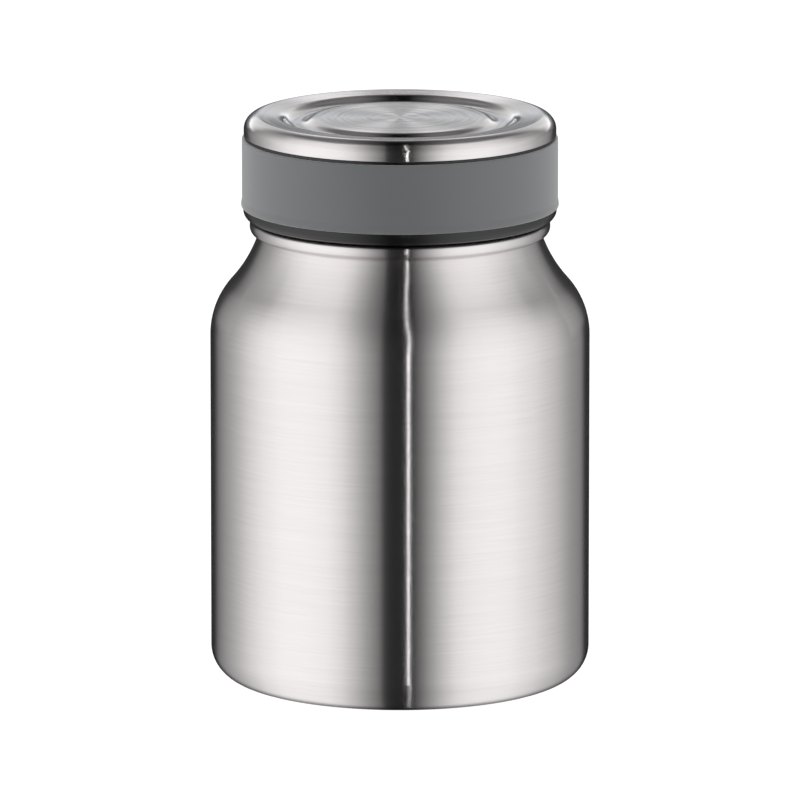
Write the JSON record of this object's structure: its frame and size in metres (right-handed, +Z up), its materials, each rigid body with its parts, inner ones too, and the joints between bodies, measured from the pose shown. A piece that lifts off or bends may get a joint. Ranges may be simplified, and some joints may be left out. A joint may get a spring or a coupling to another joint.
{
  "type": "insulated food jar",
  "caption": "Double-walled steel food jar with a rounded shoulder, a wide threaded mouth and a screw-on lid with a steel cap and a soft grip band.",
  "frame": {"origin": "centre of the foot, on the surface that the jar stands on", "axes": "+Z up along the jar's axis, towards the lid; -Y is the front, and the neck's thread starts 8 degrees past +X"},
  "size_m": [0.0944, 0.0944, 0.1424],
  "materials": {
    "brushed_body_steel": "brushed round the body",
    "brushed_cap_steel": "brushed in circles",
    "base_steel": "satin",
    "bare_steel": "bare",
    "polished_liner_steel": "electropolished",
    "seal_glass": "fused",
    "getter_metal": "sintered",
    "copper_foil": "bright",
    "gasket_silicone": "matte",
    "band_silicone": "matte",
    "lid_plastic": "satin moulded",
    "plug_plastic": "satin moulded",
    "foam": "moulded foam",
    "bonding_foam": "matte"
  },
  "bodies": {
    "jar": {"outer_shell": "brushed_body_steel", "outer_bottom": "brushed_body_steel", "base_cover": "base_steel", "vacuum_seal": "seal_glass", "getter": "getter_metal", "getter_clip": "bare_steel", "inner_liner": "polished_liner_steel", "liner_bottom": "polished_liner_steel", "radiation_foil": "copper_foil"},
    "seal_carrier": {"lid_gasket": "gasket_silicone"},
    "lid": {"lid_shell": "lid_plastic", "lid_plug": "plug_plastic", "lid_foam": "foam", "bonding_ring": "bonding_foam", "lid_cover": "brushed_cap_steel", "grip_band": "band_silicone"}
  },
  "joints": [
    {"name": "lid_lift", "type": "slide", "parent": "jar", "child": "seal_carrier", "axis": [0, 0, 1], "range_m": [0, 0.018]},
    {"name": "lid_turn", "type": "hinge", "parent": "seal_carrier", "child": "lid", "pos_m": [0, 0, 0.125], "axis": [0, 0, 1], "range_deg": [0, 1080]}
  ],
  "couplings": [
    {"joint": "lid_lift", "follows": "lid_turn", "m_per_rad": 0.0009549}
  ]
}
